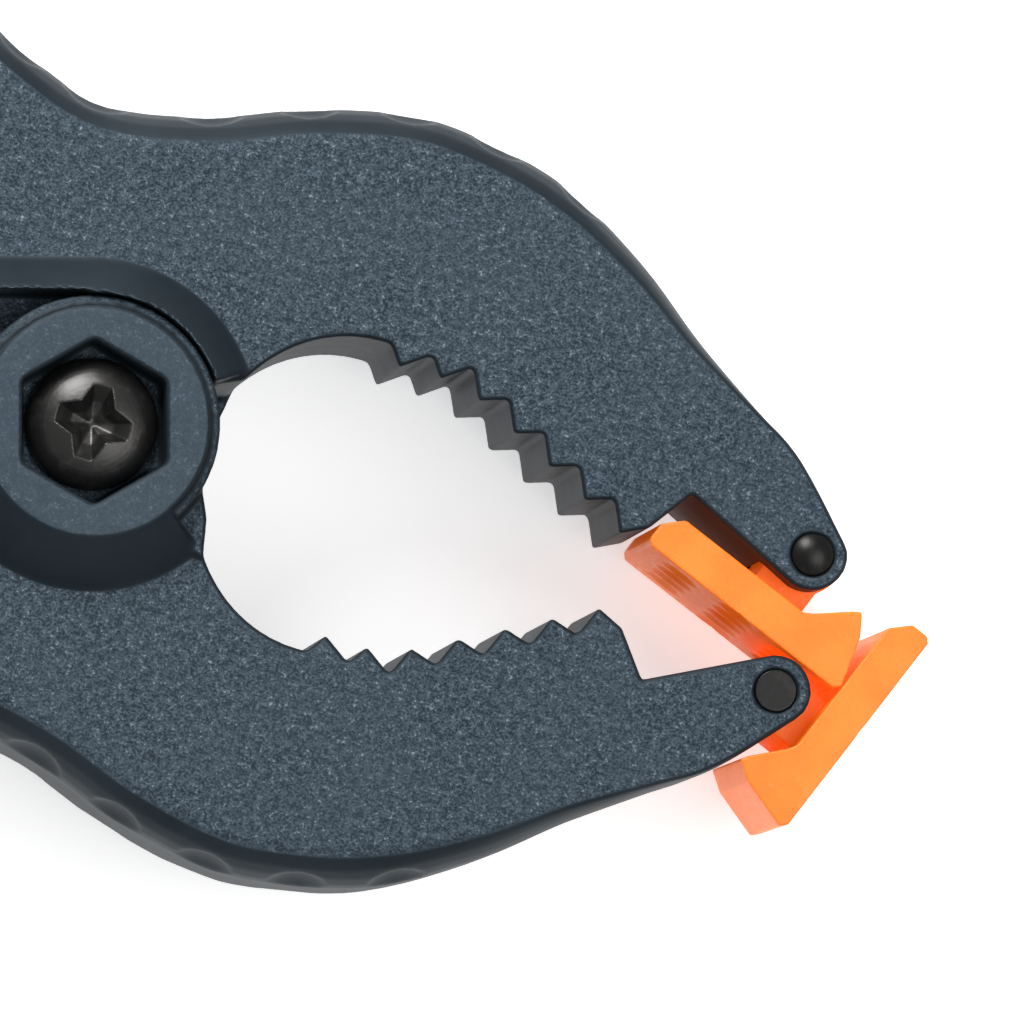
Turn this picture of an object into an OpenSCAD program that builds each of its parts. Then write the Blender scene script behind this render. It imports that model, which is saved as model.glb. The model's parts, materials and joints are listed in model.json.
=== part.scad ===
// Spring clamp: two identical toothed arms on a central pivot, opened by squeezing the handles.
// X runs towards the jaw tips, Y across the jaws, Z along the pivot.
// The origin is on the pivot axis, on the end face of the boss that the clamp lies on.

/* [Arms] */
// Distance from the pivot to the pad pins, along the clamp
jaw_len = 66; // [60:1:84]
// Height of each pad pin above the clamp's centre line, jaws closed
pin_y = 6.4; // [5.8:0.1:8]
// Thickness of an arm
arm_w = 22; // [18:1:30]
// Length of the handles behind the pivot
handle_len = 88; // [70:1:120]
// Height of the handle's end above the centre line
handle_rise = 57; // [50:1:64]
// Depth of the handle channel from its outer edge to its open edge
handle_depth = 13.5; // [11:0.5:17]
// Wall of the handle channel
wall = 3; // [2.4:0.1:4]
// Height of the arm's back over the mouth
back_h = 35.3; // [33:0.1:40]
// Height of the waist over the pivot
waist_h = 28.6; // [26:0.1:32]
// Radius of the jaw's nose round the pad pin
nose_r = 3.25; // [3:0.05:3.3]
// Size of the rounded shoulder along the outer edge
shoulder = 4.6; // [3:0.1:6]

/* [Teeth and mouth] */
// Number of gripping teeth on each jaw
teeth = 7; // [4:1:7]
// Spacing of the teeth along their row
tooth_pitch = 4.36; // [3.4:0.01:4.6]
// Height of a tooth, across the row
tooth_h = 2.85; // [1.8:0.05:3]
// Slope of the row of teeth
tooth_slope = 27.7; // [24:0.1:30]
// Half length of the round mouth
mouth_a = 13; // [10:0.1:13.5]
// Half height of the round mouth
mouth_b = 14.4; // [12:0.05:16]

/* [Hinge] */
// Radius of the outer ear
ear_r = 11.5; // [11.2:0.1:13]
// Radius of the raised boss on the outer ear
boss_r = 10.5; // [9.6:0.1:10.9]
// Radius where the flank of the boss meets the arm's side
flank_r = 15; // [14:0.1:16]
// Thickness of the inner ear
inner_ear_t = 3; // [2:0.1:3.5]
// Height of the outer ear's rim above the arm's side
ear_rise = 2.2; // [1.5:0.1:3]
// Height of the boss above the arm's side
boss_rise = 4.2; // [3.6:0.1:5]
// Width across the flats of the hexagonal pocket
pocket_af = 12.9; // [12.5:0.1:14]
// Depth of the hexagonal pocket
pocket_depth = 4.5; // [4:0.1:5]

/* [Pivot hardware] */
// Diameter of the pivot sleeve
sleeve_d = 9; // [8:0.1:10]
// Diameter of the screw
screw_d = 6; // [4:0.1:6.5]
// Diameter of the screw's head
head_d = 12; // [10:0.1:12.3]
// Diameter of the pad pins
pin_d = 3.8; // [3:0.1:4.2]

/* [Spring] */
// Diameter of the spring wire
wire_d = 3; // [2:0.1:3.2]
// Mean radius of the coil
coil_r = 8; // [7:0.1:8.8]
// Whole turns of the coil, besides the part turn between the legs
coil_turns = 2; // [1:1:2]
// Distance from the pivot at which each spring leg ends on its handle's wall
leg_reach = 44; // [36:1:48]

/* [Pads] */
// Length of the pad from the pin to its outer end
pad_out = 9.4; // [8:0.1:9.4]
// Length of the pad from the pin to its inner end
pad_in = 12.5; // [10:0.1:12.6]
// Width of the pad
pad_w = 21; // [16:0.5:29]
// Distance from the pin to the pad's gripping face
pad_h = 8.35; // [7.4:0.05:8.4]
// Thickness of the pad's plate
pad_t = 3.75; // [2.5:0.05:3.8]
// Width of the pad's lug between the jaw's cheeks
lug_w = 13.4; // [9:0.1:16]
// Angle of the upper pad, jaws closed
upper_pad_angle = -22.4; // [-22.4:0.1:-18]
// Angle of the lower pad, jaws closed
lower_pad_angle = -112.6; // [-113:0.1:-108]

/* [Clearances] */
// Radial running clearance on pins and sleeve
run = 0.05; // [0.02:0.01:0.1]
// Gap between faces that slide past each other
gap = 0.2; // [0.1:0.05:0.3]

/* [Hidden] */
$fn = 96;

half_w = arm_w / 2;
mid_z = half_w + boss_rise;                        // height of the clamp's middle plane
ear_in = half_w - 2;                               // inside face of the outer ear
inner_hi = ear_in - gap;                           // outside face of the inner ear
inner_lo = inner_hi - inner_ear_t;                 // inside face of the inner ear
pocket_z = mid_z - pocket_depth;                   // floor of the pocket, from the middle plane
throat_a = 34;                                     // direction of the end of the rim at the mouth
rim_a = 105.3;                                     // direction where the rim turns straight
mouth_x = 23.3;                                    // centre of the mouth
mouth_end_a = 32;                                  // where the mouth meets the hinge
tooth_0 = [jaw_len - 17.4, 3.5];                   // tip of the front tooth
tooth_cap = mouth_b - 1.85;                        // the rear teeth stop climbing here
notch = [jaw_len - 11.95, 8.7];                    // corner that the pad's inner end rests in
nose = [jaw_len, pin_y];
lug_r = nose_r + 0.1;                              // the pad's lug stands proud of the nose

// Point at radius r and angle a
function polar(r, a) = r * [cos(a), sin(a)];

seat_r = ear_r + gap;                              // hollow that the other arm's ears turn in
web_start = polar(seat_r - 0.7, throat_a);
rim_turn = polar(seat_r + 0.15, rim_a);
rim_run = 11.2;                                    // length of the rim's straight part
web_end = rim_turn + polar(rim_run, rim_a + 90);   // corner between the hinge and the handle

// Smooth curve through points p, with n steps between neighbours
function at(p, i) = p[max(0, min(len(p) - 1, i))];
function bend(a, b, c, d, t) =
    (2 * b + (c - a) * t + (2 * a - 5 * b + 4 * c - d) * t * t + (3 * b - a - 3 * c + d) * t * t * t) / 2;
function smooth(p, n) =
    [for (i = [0 : len(p) - 2]) for (j = [0 : n - 1])
        bend(at(p, i - 1), p[i], p[i + 1], at(p, i + 2), j / n)];

// Outer edge of an arm, from the nose back over the waist to the handle's end
nose_top = nose + polar(nose_r, 35);
outer_edge = smooth([
    nose_top, [jaw_len - 3, 14.3], [jaw_len - 7.8, 17.7], [jaw_len - 14.7, 22.6],
    [jaw_len - 21.5, 28], [jaw_len - 30, back_h - 2.4], [27.5, back_h - 0.3], [20.5, back_h],
    [11.6, back_h - 2], [3.2, waist_h + 1.6], [-5.8, waist_h], [-13, waist_h + 2],
    [-24, waist_h + 7.5], [-0.45 * handle_len, handle_rise - 13], [-0.75 * handle_len, handle_rise - 4.5],
    [-handle_len + 4, handle_rise - 0.6], [-handle_len, handle_rise - 4]], 5);

// Open edge of the handle channel, from the handle's end to the hinge
inner_edge = smooth([
    [-handle_len, handle_rise - handle_depth + 2], [-handle_len + 3, handle_rise - handle_depth],
    [-0.75 * handle_len, handle_rise - handle_depth - 4.5],
    [-0.45 * handle_len, handle_rise - handle_depth - 15], [-24, 20], [-17, 12.5], web_end], 4);

// Teeth, from the front one back to the mouth
function tooth_tip(i) = let(p = tooth_0 + i * tooth_pitch * [-cos(tooth_slope), sin(tooth_slope)])
    [p.x, min(p.y, tooth_cap)];
function tooth_root(i) = [tooth_tip(i).x - 1.25, min(tooth_tip(i).y + tooth_h, mouth_b)];
tooth_row = [for (i = [0 : teeth - 1]) each [tooth_tip(i), tooth_root(i)]];
mouth = [for (a = [90 : -5.8 : mouth_end_a]) [mouth_x - mouth_a * cos(a), mouth_b * sin(a)]];
jaw_face = concat([for (a = [20 : -16 : -118]) nose + polar(nose_r, a)],
                  [notch, [jaw_len - 14.9, 4.7]], tooth_row, mouth);

// How far the outer edge draws in at height z, and how much of that each place along it gets
levels = [for (a = [0 : 18 : 90]) [half_w - shoulder * (1 - sin(a)), shoulder * 0.75 * (1 - cos(a))]];
rings = concat([for (i = [len(levels) - 1 : -1 : 0]) [-levels[i][0], levels[i][1]]], levels);
function share(p) = max(0.06, min(1, (jaw_len - 4 - p.x) / 26, 0.2 + (p.x + handle_len) / 10));
function inward(p, i) = let(d = at(p, i + 1) - at(p, i - 1)) [-d.y, d.x] / norm(d);
function drawn_in(p, s) = [for (i = [0 : len(p) - 1]) p[i] + s * share(p[i]) * inward(p, i)];
function outline(s) = concat(drawn_in(outer_edge, s), inner_edge,
    [web_end, rim_turn], [web_start], [for (i = [len(jaw_face) - 1 : -1 : 0]) jaw_face[i]]);

// Triangles across an outline q of n points, stepping back along its outer and inner edges together
function across(q, n, i, j) =
    let(last = len(outer_edge) - 1)
    i == last && j == last + 1 ? [] :
    j == last + 1 || (i < last && q[i + 1].x > q[j - 1].x)
        ? concat([[i, i + 1, j]], across(q, n, i + 1, j))
        : concat([[i, j - 1, j]], across(q, n, i, j - 1));

// Solid between stacked outlines, given as [height, amount drawn in]
module stacked(r) {
    q = outline(0);
    n = len(q);
    top = (len(r) - 1) * n;
    cap = across(q, n, 0, n - 1);
    polyhedron(
        points = [for (k = r) for (p = outline(k[1])) [p.x, p.y, k[0]]],
        faces = concat(
            cap,
            [for (t = cap) [t[2] + top, t[1] + top, t[0] + top]],
            [for (k = [0 : len(r) - 2]) for (i = [0 : n - 1])
                let(j = (i + 1) % n) each [[k * n + i, (k + 1) * n + j, k * n + j],
                                           [k * n + i, (k + 1) * n + i, (k + 1) * n + j]]]));
}

// Ring about Z from a profile of [radius, height], between two directions
module sector(profile, from, to) {
    rotate([0, 0, from]) rotate_extrude(angle = to - from) polygon(profile);
}

// Cylinder between two heights
module drum(r, lo, hi) {
    translate([0, 0, lo]) cylinder(r = r, h = hi - lo);
}

// Rise of the boss's flank above the arm's side at radius r
function flank(r) = boss_rise * (flank_r - r) / (flank_r - boss_r);

// Profile of the bevel from radius r down into the arm's side, where its foot is sunk
sunk = 0.4;
foot_r = flank_r + sunk * (flank_r - boss_r) / boss_rise;
function bevel(r) = [[r, half_w - sunk], [foot_r, half_w - sunk], [r, half_w + flank(max(r, boss_r + 0.1))]];

// Bevelled rim round the seat of the other arm's ear, with its straight run to the handle
module rim() {
    sector(bevel(seat_r - 0.5), throat_a, rim_a + 2);
    rotate([0, 0, rim_a]) rotate([90, 0, 0]) translate([0, 0, 0.6 - rim_run]) linear_extrude(rim_run)
        polygon(bevel(norm(rim_turn) + 0.1));
}

// Outer ear: disc, raised boss, the flank that runs down onto the arm and a web out to the mouth's edge
module outer_ear() {
    mirror([0, 0, 1]) {
        drum(ear_r, ear_in, half_w + ear_rise);
        drum(boss_r, ear_in, mid_z);
        sector(concat(bevel(boss_r - 0.2), [[boss_r - 1, half_w]]), throat_a, 140);
        translate([0, 0, ear_in + 0.15]) linear_extrude(half_w - ear_in + 0.35) polygon([
            polar(ear_r - 2, 0), polar(ear_r - 0.3, 12), [mouth_x - mouth_a + 2, 5.4],
            [mouth_x - mouth_a + 2.6, 8.9], polar(ear_r - 2, 50)]);
    }
}

// Inner ear, with the floor between it and the straight run of the rim
module inner_ear() {
    drum(ear_r - gap, inner_lo, inner_hi);
    foot = rim_turn + polar(1, rim_a);
    translate([0, 0, inner_lo + 0.3]) linear_extrude(inner_ear_t - 0.45) polygon([
        polar(ear_r - 2, rim_a), foot, foot + polar(rim_run - 1.5, rim_a + 90), polar(ear_r - 2, rim_a + 60)]);
}

// Straight run of the upper arm's spring leg, from its tangent point on the coil to the handle's wall
rest_i = [for (i = [50 : len(outer_edge) - 1]) if (norm(outer_edge[i]) > leg_reach) i][0];
leg_end = outer_edge[rest_i] + (wall + wire_d / 2 + gap) * inward(outer_edge, rest_i);
leg_a = atan2(leg_end.y, leg_end.x) - acos(coil_r / norm(leg_end)) + 90;
leg_start = polar(coil_r, leg_a - 90);
leg_z = half_w - 6.9;                              // height of the leg from the middle plane

// Hollow of the handle and the pocket that lets the spring's leg through
module channel() {
    n = len(outer_edge);
    m = len(inner_edge);
    floor_run = [for (i = [57 : n - 6]) outer_edge[i] + wall * inward(outer_edge, i)];
    mouth_run = [for (i = [4 : m - 3]) inner_edge[i] - wall * inward(inner_edge, i)];
    depth = arm_w - 2 * wall;
    translate([0, 0, -depth / 2]) linear_extrude(depth) polygon(concat(floor_run, mouth_run));
    clear = wire_d / 2 + 1;
    reach = inner_lo - 0.1;
    translate([leg_start.x, leg_start.y, -reach]) rotate([0, 0, leg_a])
        translate([0, -clear, 0]) cube([norm(leg_end - leg_start) * 0.8, 2 * clear, 2 * reach]);
}

// Slot between the cheeks of the nose, open over the whole swing of the pad's lug
module lug_slot() {
    w = lug_w + 2 * gap;
    translate([nose.x, nose.y, -w / 2]) linear_extrude(w) {
        circle(r = lug_r + 0.5);
        polygon(concat([[0, 0]], [for (a = [-160 : 37 : 62]) polar(16, a)]));
    }
}

// Scoops along the outer edge, where fingers rest
module scoops() {
    for (x = [-16.5 : 9 : 38]) {
        i = [for (k = [0 : len(outer_edge) - 1]) if (outer_edge[k].x > x) k];
        k = len(i) - 1;
        p = outer_edge[k];
        q = p - 3.4 * inward(outer_edge, k);
        for (side = [-1, 1]) translate([q.x, q.y, side * (half_w - 2.6)]) sphere(r = 4.6, $fn = 32);
    }
}

// One arm, with its jaw above the centre line; the other is the same moulding turned over
module arm() {
    difference() {
        union() {
            difference() {
                union() { stacked(rings); rim(); }
                drum(seat_r, -ear_in, inner_lo);
                drum(seat_r, inner_hi, mid_z + 1);
                channel();
                scoops();
            }
            inner_ear();
            outer_ear();
        }
        lug_slot();
        translate([0, 0, -half_w]) translate([nose.x, nose.y, -1]) cylinder(d = pin_d, h = arm_w + 2);
        drum(sleeve_d / 2 + run, -mid_z - 1, mid_z + 1);
        rotate([0, 0, -rim_a]) translate([0, 0, -mid_z - 1])
            cylinder(d = pocket_af / cos(30), h = pocket_depth + 1, $fn = 6);
    }
}

module upper_arm() {
    color([0.13, 0.16, 0.18]) translate([0, 0, mid_z]) arm();
}

module lower_arm() {
    color([0.15, 0.18, 0.2]) translate([0, 0, mid_z]) rotate([180, 0, 0]) arm();
}

// Pan head screw with a cross recess, in the near pocket
head_h = 3.7;                                      // height of the screw's head
recess_w = 1.5;                                    // width of the recess's arms
recess_l = 6.9;                                    // span of the recess
recess_h = 2.2;                                    // depth of the recess
module pivot_screw() {
    r = head_d / 2;
    crown = [for (a = [0 : 15 : 75]) [r - 2.4 + 2.4 * cos(a), head_h - 2.2 + 2.2 * sin(a)]];
    color([0.1, 0.11, 0.12]) translate([0, 0, mid_z + pocket_z]) difference() {
        union() {
            rotate_extrude() polygon(concat([[0, 0], [r - 0.4, 0], [r, 0.5]], crown, [[0, head_h + 0.1]]));
            drum(screw_d / 2, -2 * pocket_z + 1, 0.1);
        }
        for (turn = [0, 90]) rotate([0, 0, turn])
            translate([-recess_l / 2, -recess_w / 2, head_h - recess_h]) cube([recess_l, recess_w, recess_h + 1]);
    }
}

// Sleeve nut: a hexagon held in the far pocket, and the sleeve that both arms turn on
module pivot_barrel() {
    nut_h = pocket_depth - 0.6;
    color([0.55, 0.56, 0.58]) translate([0, 0, mid_z]) difference() {
        union() {
            rotate([0, 0, -rim_a]) translate([0, 0, -pocket_z - nut_h])
                cylinder(d = (pocket_af - 0.2) / cos(30), h = nut_h, $fn = 6);
            drum(sleeve_d / 2, -pocket_z - 0.1, pocket_z);
        }
        drum(screw_d / 2, -mid_z, mid_z);
    }
}

// Torsion spring: one leg, the coil and the other leg, as one round wire
part_turn = 2 * (leg_a - 90);                      // coil between the two tangent points
sweep_a = part_turn + 360 * coil_turns;
coil_steps = round(sweep_a / 12);
wire_path = concat(
    [[leg_end.x, -leg_end.y, -leg_z]],
    [for (i = [0 : coil_steps]) let(a = -part_turn / 2 + sweep_a * i / coil_steps)
        [coil_r * cos(a), coil_r * sin(a), leg_z * (2 * i / coil_steps - 1)]],
    [[leg_end.x, leg_end.y, leg_z]]);
module torsion_spring() {
    sides = 12;
    n = len(wire_path);
    ring = function(i) let(d = at(wire_path, i + 1) - at(wire_path, i - 1), t = d / norm(d),
                           u = cross([0, 0, 1], t), s = u / norm(u), v = cross(t, s))
        [for (k = [0 : sides - 1]) wire_path[i]
            + wire_d / 2 * (s * cos(360 * k / sides) + v * sin(360 * k / sides))];
    color([0.62, 0.63, 0.65]) translate([0, 0, mid_z]) polyhedron(
        points = [for (i = [0 : n - 1]) each ring(i)],
        faces = concat(
            [[for (k = [0 : sides - 1]) k]],
            [[for (k = [sides - 1 : -1 : 0]) (n - 1) * sides + k]],
            [for (i = [0 : n - 2]) for (k = [0 : sides - 1]) let(j = (k + 1) % sides)
                each [[i * sides + k, (i + 1) * sides + j, i * sides + j],
                      [i * sides + k, (i + 1) * sides + k, (i + 1) * sides + j]]]));
}

// Swivel pad in its own frame: the pin along Z at the origin, the gripping face towards +Y
plate_back = pad_h - pad_t;
scoop_r = 4;                                       // radius of the scoops in the gripping face
scoop_d = 0.55;                                    // and their depth
scoop_step = 6.2;                                  // spacing of their rows
module pad() {
    difference() {
        union() {
            translate([0, 0, -pad_w / 2]) linear_extrude(pad_w) polygon([
                [pad_out - 0.6, pad_h], [pad_out, pad_h - 0.6], [pad_out - 1.4, 3.1], [pad_out - 2.6, 1.3],
                [pad_out - 3.3, 1.7], [3.4, plate_back - 0.5], [2.6, plate_back], [1.6 - pad_in, plate_back],
                [-pad_in, plate_back + 1.6], [-pad_in, pad_h - 0.5], [0.5 - pad_in, pad_h]]);
            translate([0, 0, -lug_w / 2]) linear_extrude(lug_w) {
                circle(r = lug_r);
                translate([-lug_r * 0.8, 0]) square([lug_r * 1.6, plate_back + 0.5]);
            }
        }
        translate([0, 0, -pad_w]) cylinder(d = pin_d + 2 * run, h = 2 * pad_w);
        // Lens-shaped scoops in crossed rows, which leave raised ridges on the gripping face
        for (row = [-1 : 1]) for (k = [-2 : 2 - abs(row)])
            translate([row * scoop_step - 1.9, pad_h + scoop_r - scoop_d, (k + abs(row) / 2) * scoop_step * 0.68])
                sphere(r = scoop_r);
    }
}

module lower_pad() {
    color([1, 0.45, 0.12]) translate([nose.x, -nose.y, mid_z]) rotate([0, 0, lower_pad_angle]) pad();
}

module upper_pad() {
    color([1, 0.48, 0.14]) translate([nose.x, nose.y, mid_z]) rotate([0, 0, upper_pad_angle])
        rotate([180, 0, 0]) pad();
}

// Plain pin pressed flush into the lower cheeks
module lower_pin() {
    color([0.2, 0.22, 0.24]) translate([nose.x, -nose.y, mid_z]) drum(pin_d / 2, -half_w, half_w + 0.1);
}

// Pin with a domed head on the upper cheeks
dome = 0.7;                                        // height of the dome
module upper_pin() {
    r = pin_d / 2;
    ball = (r * r + dome * dome) / (2 * dome);
    color([0.2, 0.22, 0.24]) translate([nose.x, nose.y, mid_z]) {
        drum(r, -half_w, half_w + 0.1);
        intersection() {
            translate([0, 0, half_w + 0.1 + dome - ball]) sphere(r = ball);
            drum(r, half_w, half_w + 2);
        }
    }
}

lower_arm();
upper_arm();
pivot_screw();
pivot_barrel();
torsion_spring();
upper_pad();
lower_pad();
upper_pin();
lower_pin();
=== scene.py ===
"""Looks of the spring clamp: moulded arms and swivel pads, blackened and plated steel, spring wire."""

import json
import math

import bpy
from mathutils import Matrix, Vector


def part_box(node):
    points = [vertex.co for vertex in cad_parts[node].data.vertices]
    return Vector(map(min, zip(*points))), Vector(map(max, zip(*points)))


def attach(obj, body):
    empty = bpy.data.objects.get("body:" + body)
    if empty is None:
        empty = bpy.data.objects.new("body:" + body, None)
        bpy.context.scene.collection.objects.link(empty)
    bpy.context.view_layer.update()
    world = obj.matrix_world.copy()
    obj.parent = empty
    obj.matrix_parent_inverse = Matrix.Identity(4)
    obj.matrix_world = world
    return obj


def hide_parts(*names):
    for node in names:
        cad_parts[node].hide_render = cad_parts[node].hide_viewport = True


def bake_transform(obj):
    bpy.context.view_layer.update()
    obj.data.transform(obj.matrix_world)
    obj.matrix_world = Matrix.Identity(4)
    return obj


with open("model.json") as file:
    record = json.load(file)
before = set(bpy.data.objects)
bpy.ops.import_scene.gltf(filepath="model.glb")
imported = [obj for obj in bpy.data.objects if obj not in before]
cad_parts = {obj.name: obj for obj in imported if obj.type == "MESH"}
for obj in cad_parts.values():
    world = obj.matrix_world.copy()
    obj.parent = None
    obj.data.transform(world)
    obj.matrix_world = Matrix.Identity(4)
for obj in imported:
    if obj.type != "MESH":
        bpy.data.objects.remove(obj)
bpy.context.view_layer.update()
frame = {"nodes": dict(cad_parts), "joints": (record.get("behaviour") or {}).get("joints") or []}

MM = 0.001

# ---------------------------------------------------------------- places taken from the frame
PIVOT = next(Vector(j["pos_m"]) for j in frame["joints"] if j["name"] == "jaw_hinge")
FACE_MARGIN = 0.3 * MM                                 # keeps the whole boss face above the level below
BOSS_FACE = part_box("lower_arm")[1].z - PIVOT.z - FACE_MARGIN    # level that the boss finish starts at

# ---------------------------------------------------------------- skins: remesh grain, smoothing rounds
ARM_SKIN = (0.26 * MM, 3)
PAD_SKIN = (0.15 * MM, 3)
SLEEVE_SKIN = (0.15 * MM, 2)
FINE_SKIN = (0.1 * MM, 2)


# ---------------------------------------------------------------- shader maths
class Value:
    """A socket that can be added, multiplied and so on; each step is a Math node."""

    def __init__(self, shader, socket):
        self.shader, self.socket = shader, socket

    def _math(self, operation, *values):
        return self.shader.node("ShaderNodeMath", {"operation": operation}, dict(enumerate(values)))

    def __add__(self, other): return self._math("ADD", self, other)
    def __radd__(self, other): return self._math("ADD", other, self)
    def __sub__(self, other): return self._math("SUBTRACT", self, other)
    def __rsub__(self, other): return self._math("SUBTRACT", other, self)
    def __mul__(self, other): return self._math("MULTIPLY", self, other)
    def __abs__(self): return self._math("ABSOLUTE", self)


class Shader:
    """One material: its Principled shader and the nodes that feed it."""

    def __init__(self, name, **constants):
        self.material = bpy.data.materials.new(name)
        self.material.use_nodes = True
        self.tree = self.material.node_tree
        self.surface = next(n for n in self.tree.nodes if n.type == "BSDF_PRINCIPLED")
        for socket, value in constants.items():
            self.surface.inputs[socket.replace("_", " ")].default_value = value

    def node(self, kind, settings=None, sockets=None, out=0):
        """Adds a node, sets it up, and gives back one of its outputs."""
        n = self.tree.nodes.new(kind)
        for key, value in (settings or {}).items():
            setattr(n, key, value)
        for key, value in (sockets or {}).items():
            if isinstance(value, Value):
                self.tree.links.new(value.socket, n.inputs[key])
            else:
                n.inputs[key].default_value = value
        return Value(self, n.outputs[out])

    def feed(self, socket, value):
        """Links a value to a socket of the Principled shader."""
        self.tree.links.new(value.socket, self.surface.inputs[socket])

    def coords(self):
        return self.node("ShaderNodeTexCoord", out="Object")

    def noise(self, size, detail=2.0, rough=0.5):
        """Noise whose blobs are about size metres across, from 0 to 1."""
        return self.node("ShaderNodeTexNoise", None,
                         {"Vector": self.coords(), "Scale": 1 / size, "Detail": detail, "Roughness": rough})

    def fade(self, value, low, high):
        """0 where the value is under low, 1 where it is over high, eased between."""
        return self.node("ShaderNodeMapRange", {"interpolation_type": "SMOOTHSTEP"},
                         {0: value, 1: low, 2: high})

    def blend(self, factor, a, b):
        """Colour a where factor is 0, colour b where it is 1."""
        return self.node("ShaderNodeMix", {"data_type": "RGBA"}, {0: factor, 6: a, 7: b}, out=2)

    def facing_side(self):
        """1 where the surface faces along the pivot, 0 where it faces sideways."""
        geometry = self.node("ShaderNodeNewGeometry", out="Normal")
        return abs(self.node("ShaderNodeSeparateXYZ", None, {0: geometry}, out=2))

    def height_over_pivot(self):
        """Distance along the pivot from the clamp's middle plane, in metres."""
        return self.node("ShaderNodeSeparateXYZ", None, {0: self.coords()}, out=2) - PIVOT.z

    def bump(self, height, depth):
        return self.node("ShaderNodeBump", None, {"Height": height, "Distance": depth, "Strength": 1.0})


def rgb(r, g, b):
    return (r, g, b, 1.0)


# ---------------------------------------------------------------- materials
def arm_plastic():
    """Glass-filled nylon: sides eroded by sparks, with painted shade, light and glints on their grain, a
    finer boss face, smooth dark edges.
    """
    # Grain tones, darker as painted shade in its pits and lighter as painted light on its crests; a random
    # mottle tone; the colour of the painted glints.
    pit_painted_shade, crest_painted_light, haze, painted_glint_colour = (rgb(0.006, 0.012, 0.019), rgb(0.062, 0.088, 0.111),
                               rgb(0.045, 0.066, 0.085), rgb(0.25, 0.29, 0.34))
    edge_dark, edge_light = rgb(0.007, 0.012, 0.016), rgb(0.013, 0.019, 0.024)
    s = Shader("arm_plastic", IOR=1.5, Specular_IOR_Level=0.30, Specular_Tint=rgb(0.74, 0.88, 1.0))
    side = s.fade(s.facing_side(), low=0.93, high=0.99)
    boss = s.fade(abs(s.height_over_pivot()), low=BOSS_FACE - 0.1 * MM, high=BOSS_FACE)
    coarse = side * (1 - boss * 0.7)
    grain = s.noise(0.27 * MM, detail=2.0, rough=0.65)
    speck = s.noise(0.17 * MM, detail=1.0)
    mottle = s.noise(0.75 * MM, detail=2.0)
    texture = grain * 0.5 + speck * 0.2 + mottle * 0.3
    # Painted glints: bright specks of painted highlight where the grain stands highest on the coarse sides,
    # also made glossier.
    painted_glint = s.fade(texture, low=0.57, high=0.66) * coarse
    cloud = s.fade(s.noise(9 * MM, detail=3.0), low=0.3, high=0.7)
    # The grain's tone follows its relief: painted shade where the relief is low, painted light where it is
    # high.
    level = 0.5 + (s.fade(texture, low=0.40, high=0.60) - 0.5) * coarse
    flat = s.blend(level, pit_painted_shade, crest_painted_light)
    flat = s.blend(cloud * 0.25, flat, haze)
    flat = s.blend(painted_glint * 0.8, flat, painted_glint_colour)
    edge = s.blend(cloud, edge_dark, edge_light)
    s.feed("Base Color", s.blend(side, edge, flat))
    s.feed("Roughness", 0.50 + s.noise(3 * MM) * 0.08 - painted_glint * 0.20)
    relief = texture * 1.5 * coarse + s.noise(1.2 * MM) * 0.12
    s.feed("Normal", s.bump(relief, depth=0.16 * MM))
    return s.material


def pad_plastic():
    """Soft fluorescent orange polymer with a painted glow that lifts it in shade, satin with glossy scuffs.
    """
    # Painted glow: the emission lights the pads a little from within, so their shaded faces stay bright.
    s = Shader("pad_plastic", IOR=1.46, Subsurface_Weight=0.30, Subsurface_Scale=1.5 * MM,
               Emission_Color=rgb(1.0, 0.15, 0.008), Emission_Strength=0.32)
    s.surface.inputs["Subsurface Radius"].default_value = (1.0, 0.22, 0.04)
    cloud = s.fade(s.noise(5 * MM, detail=3.0), low=0.3, high=0.7)
    s.feed("Base Color", s.blend(cloud, rgb(0.95, 0.175, 0.010), rgb(0.98, 0.225, 0.020)))
    scuff = s.fade(s.noise(0.8 * MM, detail=3.0, rough=0.7), low=0.5, high=0.72)
    s.feed("Roughness", 0.46 - scuff * 0.22)
    s.feed("Normal", s.bump(s.noise(0.5 * MM, detail=2.0) + scuff * 0.5, depth=0.035 * MM))
    return s.material


def dark_steel(name, tone):
    """Black oxide on steel, rubbed lighter in patches; tone sets how light it is."""
    s = Shader(name, Metallic=0.85)
    wear = s.fade(s.noise(1.6 * MM, detail=4.0, rough=0.6), low=0.48, high=0.78)
    s.feed("Base Color", s.blend(wear, rgb(0.050 * tone, 0.049 * tone, 0.048 * tone),
                                 rgb(0.085 * tone, 0.081 * tone, 0.077 * tone)))
    s.feed("Roughness", 0.34 + wear * 0.10)
    s.feed("Normal", s.bump(s.noise(0.5 * MM, detail=3.0), depth=0.012 * MM))
    return s.material


def plated_steel():
    """Zinc plate with a faint cloudy bloom."""
    s = Shader("plated_steel", Metallic=1.0)
    bloom = s.fade(s.noise(2.5 * MM, detail=4.0, rough=0.6), low=0.35, high=0.7)
    s.feed("Base Color", s.blend(bloom, rgb(0.62, 0.62, 0.60), rgb(0.72, 0.71, 0.67)))
    s.feed("Roughness", 0.28 + bloom * 0.18)
    s.feed("Normal", s.bump(s.noise(0.6 * MM, detail=1.0), depth=0.005 * MM))
    return s.material


def spring_steel():
    """Drawn wire, lightly oiled, with faint darker patches."""
    s = Shader("spring_steel", Metallic=1.0)
    patch = s.fade(s.noise(3 * MM, detail=2.0), low=0.35, high=0.7)
    s.feed("Base Color", s.blend(patch, rgb(0.56, 0.56, 0.55), rgb(0.70, 0.69, 0.66)))
    s.feed("Roughness", 0.30 + patch * 0.08)
    s.feed("Normal", s.bump(s.noise(0.6 * MM, detail=1.0), depth=0.004 * MM))
    return s.material


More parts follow.
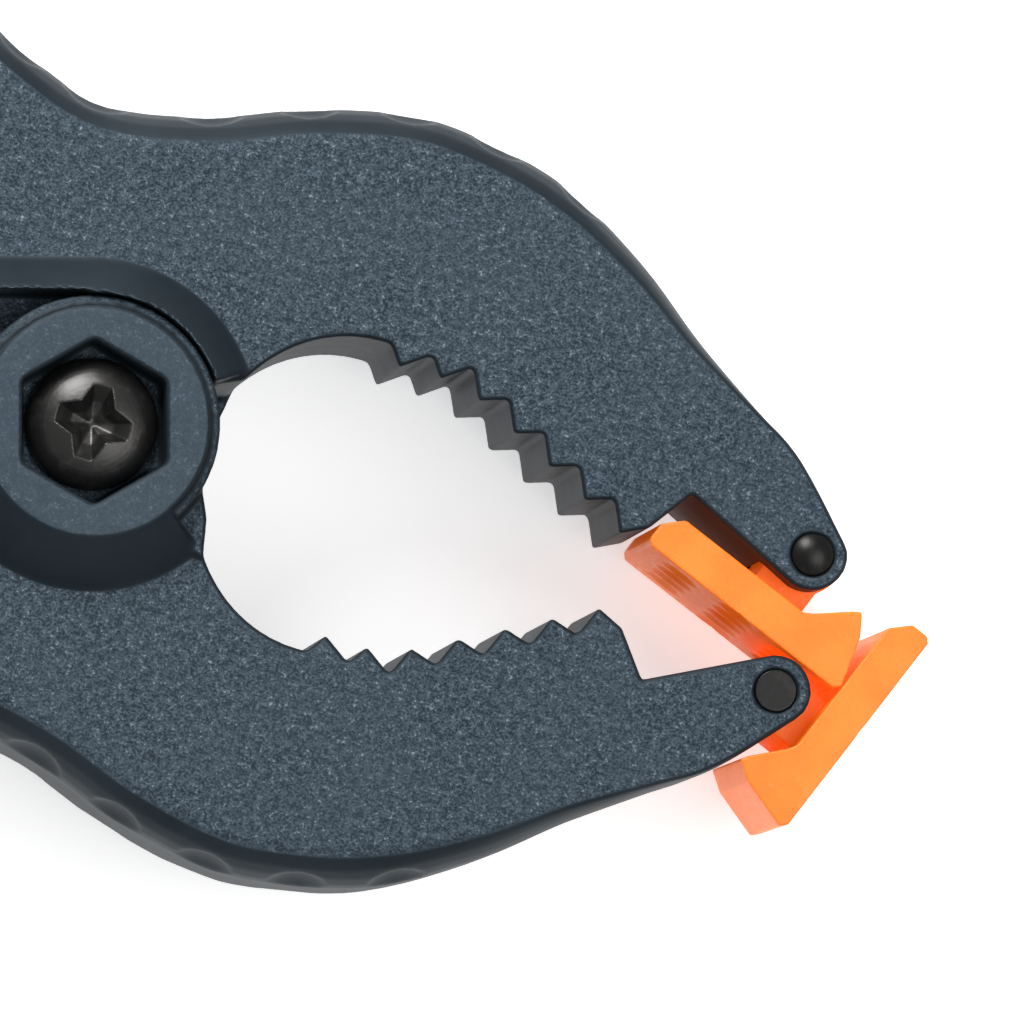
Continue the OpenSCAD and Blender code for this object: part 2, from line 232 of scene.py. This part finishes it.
def bench_top():
    """Plain pale light table."""
    s = Shader("bench_top", Roughness=0.7, Emission_Color=rgb(1, 1, 1), Emission_Strength=0.56)
    tint = s.fade(s.noise(150 * MM, detail=2.0), low=0.3, high=0.7)
    s.feed("Base Color", s.blend(tint, rgb(0.88, 0.88, 0.88), rgb(0.91, 0.91, 0.91)))
    return s.material


# ---------------------------------------------------------------- pieces
def new_piece(name, data):
    """Puts a mesh, light or camera into the scene as an object."""
    piece = bpy.data.objects.new(name, data)
    bpy.context.scene.collection.objects.link(piece)
    return piece


def dress(piece, material, slot, *nodes):
    """Puts a finished piece in place of its CAD nodes."""
    piece.data.materials.clear()
    piece.data.materials.append(material)
    for face in piece.data.polygons:
        face.use_smooth = True
    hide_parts(*nodes)
    return piece


def settled(piece):
    """Turns a piece's modifiers into its mesh."""
    evaluated = piece.evaluated_get(bpy.context.evaluated_depsgraph_get())
    mesh = bpy.data.meshes.new_from_object(evaluated)
    piece.modifiers.clear()
    piece.data = mesh
    return piece


def softened(piece, skin):
    """Gives every edge of a solid the small radius that moulding, plating or rolling leaves."""
    grain, rounds = skin
    remesh = piece.modifiers.new("skin", "REMESH")
    remesh.mode, remesh.voxel_size, remesh.adaptivity = "VOXEL", grain, 0.0
    smooth = piece.modifiers.new("soften", "SMOOTH")
    smooth.factor, smooth.iterations = 0.5, rounds
    return settled(piece)


def finished_copy(node, name, skin):
    """The node's own shape, with softened edges."""
    return softened(new_piece(name, frame["nodes"][node].data.copy()), skin)


def solid(rings):
    """Closed mesh through rings of points, each with the same count."""
    count = len(rings[0])
    last = (len(rings) - 1) * count
    faces = [(ring + k, ring + (k + 1) % count, ring + count + (k + 1) % count, ring + count + k)
             for ring in range(0, last, count) for k in range(count)]
    faces += [tuple(reversed(range(count))), tuple(range(last, last + count))]
    mesh = bpy.data.meshes.new("solid")
    mesh.from_pydata([tuple(p) for ring in rings for p in ring], [], faces)
    mesh.update()
    return mesh


def turned(profile, foot, sides=96):
    """Rings of a solid of revolution about Z, from (radius, height) pairs above a foot point."""
    angles = [2 * math.pi * k / sides for k in range(sides)]
    return [[foot + Vector((r * math.cos(a), r * math.sin(a), z)) for a in angles] for r, z in profile]


def cross_cutter(foot, depth, span, width):
    """Tapered cross that the driver recess is sunk with."""
    blunt, waist = 0.8, 0.72                # shares of the width: at each arm's end, and at the inner corners
    taper = ((0.1, -1.1), (0.55, -0.8), (0.95, -0.25), (1.25, 0.4))    # scale, and level as a share of depth

    def outline(scale, z):
        w, l, c = width / 2 * scale, span / 2 * scale, width * waist * scale
        quarter = [(l, -w * blunt), (l, w * blunt), (c, c)]
        points = [(x * math.cos(t) - y * math.sin(t), x * math.sin(t) + y * math.cos(t))
                  for t in (0, math.pi / 2, math.pi, 3 * math.pi / 2) for x, y in quarter]
        return [foot + Vector((x, y, z)) for x, y in points]

    return solid([outline(scale, depth * level) for scale, level in taper])


def pivot_screw():
    """Screw with a domed head and a cross recess."""
    low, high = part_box("pivot_screw")
    head_r, shank_r, head_h = (high.x - low.x) / 2, 3 * MM, 3.7 * MM
    rim, chamfer, axis_r = 0.7 * MM, 0.5 * MM, 0.01 * MM            # axis_r is nearly a point
    seat = high.z - head_h - low.z                     # height of the head's underside above the foot
    dome = [(head_r * math.cos(t), seat + rim + (head_h - rim) * math.sin(t))
            for t in [math.radians(a) for a in range(0, 90, 6)]]
    profile = [(axis_r, 0), (shank_r - chamfer, 0), (shank_r, chamfer), (shank_r, seat),
               (head_r - chamfer, seat), (head_r, seat + rim * 0.6)] + dome + [(axis_r, seat + head_h)]
    foot = Vector((PIVOT.x, PIVOT.y, low.z))
    top = foot + Vector((0, 0, seat + head_h))
    screw = new_piece("pivot_screw_turned", solid(turned(profile, foot)))
    cutter = new_piece("cutter", cross_cutter(top, depth=2.3 * MM, span=7.2 * MM, width=2.1 * MM))
    cut = screw.modifiers.new("recess", "BOOLEAN")
    cut.operation, cut.solver, cut.object = "DIFFERENCE", "EXACT", cutter
    settled(screw)
    bpy.data.objects.remove(cutter)
    return softened(screw, FINE_SKIN)


def torsion_spring():
    """One round wire: the lower arm's leg, the coil round the sleeve, the upper arm's leg."""
    wire_r, coil_r, turns, leg_z = 1.5 * MM, 8 * MM, 2, 4.1 * MM
    leg_end = Vector((-28.9, 33.4)) * MM               # where the upper leg rests on its handle's wall
    steps, sides = 80, 20                              # along the coil, and round the wire
    touch = math.atan2(leg_end.y, leg_end.x) - math.acos(coil_r / leg_end.length)
    sweep = 2 * touch + 2 * math.pi * turns
    centre = [(leg_end.x, -leg_end.y, -leg_z)]
    for i in range(steps + 1):
        angle = -touch + sweep * i / steps
        centre.append((coil_r * math.cos(angle), coil_r * math.sin(angle), leg_z * (2 * i / steps - 1)))
    centre.append((leg_end.x, leg_end.y, leg_z))
    points = [Vector(p) for p in centre]
    rings = []
    for i, p in enumerate(points):
        along = (points[min(i + 1, len(points) - 1)] - points[max(i - 1, 0)]).normalized()
        out = Vector((0, 0, 1)).cross(along).normalized()
        up = along.cross(out)
        rings.append([PIVOT + p + wire_r * (out * math.cos(a) + up * math.sin(a))
                      for a in [2 * math.pi * k / sides for k in range(sides)]])
    wire = new_piece("torsion_spring_wire", solid(rings))
    spring = dress(wire, spring_steel(), "spring_steel", "torsion_spring")
    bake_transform(spring)


# ---------------------------------------------------------------- stage
def soft_light(name, place, size, power, target):
    """Round area light; size in metres, power in watts."""
    light = bpy.data.lights.new(name, "AREA")
    light.shape, light.size, light.energy = "DISK", size, power
    lamp = new_piece(name, light)
    lamp.location = place
    lamp.rotation_euler = (Vector(target) - Vector(place)).to_track_quat("-Z", "Y").to_euler()


def stage():
    """Pale floor under the clamp, even light from all round, a key light and a large fill."""
    reach = 3.0                                        # metres from the origin to the floor's edges
    mesh = bpy.data.meshes.new("floor")
    mesh.from_pydata([(-reach, -reach, 0), (reach, -reach, 0), (reach, reach, 0), (-reach, reach, 0)],
                     [], [(0, 1, 2, 3)])
    floor = new_piece("floor", mesh)
    mesh.materials.append(bench_top())
    world = bpy.data.worlds.new("studio")
    world.use_nodes = True
    background = world.node_tree.nodes["Background"]
    background.inputs["Color"].default_value = rgb(1, 1, 1)
    background.inputs["Strength"].default_value = 0.38
    bpy.context.scene.world = world
    bpy.context.scene.view_settings.view_transform = "Standard"
    middle = (0.02, 0.0, 0.015)
    soft_light("key", (-0.22, 0.34, 0.38), size=0.28, power=3.3, target=middle)
    soft_light("fill", (0.5, -0.1, 1.0), size=0.9, power=5.0, target=middle)


def aim_camera():
    """Looks down at the clamp's side, a little from the lower left, jaws falling to the right."""
    toward = Vector((-0.086, -0.093, 0.992)).normalized()           # from the clamp to the camera
    tilt = Vector((-0.2639, 0.9646, 0.0))                           # rolls the picture about that line
    right = tilt.cross(toward).normalized()
    up = toward.cross(right)
    centre = Vector((38.7 * MM, 2.7 * MM, 26.2 * MM))               # the point in the picture's middle
    distance, width = 1.2, 92.25 * MM                               # width is what the picture shows there
    data = bpy.data.cameras.new("camera")
    data.angle = 2 * math.atan(width / 2 / distance)
    camera = new_piece("camera", data)
    camera.matrix_world = Matrix.Translation(centre + toward * distance) @ Matrix(
        (right, up, toward)).transposed().to_4x4()
    bpy.context.scene.camera = camera


aim_camera()
stage()
nylon, orange = arm_plastic(), pad_plastic()
screw_steel, pin_steel = dark_steel("screw_steel", tone=1.0), dark_steel("pin_steel", tone=0.45)
for arm in ("upper_arm", "lower_arm"):
    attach(dress(finished_copy(arm, arm + "_moulding", ARM_SKIN), nylon, "arm_plastic", arm), arm)
for pad in ("upper_pad", "lower_pad"):
    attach(dress(finished_copy(pad, pad + "_moulding", PAD_SKIN), orange, "pad_plastic", pad), pad)
for pin, arm in (("upper_pin", "upper_arm"), ("lower_pin", "lower_arm")):
    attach(dress(finished_copy(pin, pin + "_turned", FINE_SKIN), pin_steel, "dark_steel", pin), arm)
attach(dress(finished_copy("pivot_barrel", "pivot_barrel_plated", SLEEVE_SKIN),
              plated_steel(), "plated_steel", "pivot_barrel"), "upper_arm")
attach(dress(pivot_screw(), screw_steel, "dark_steel", "pivot_screw"), "upper_arm")
torsion_spring()
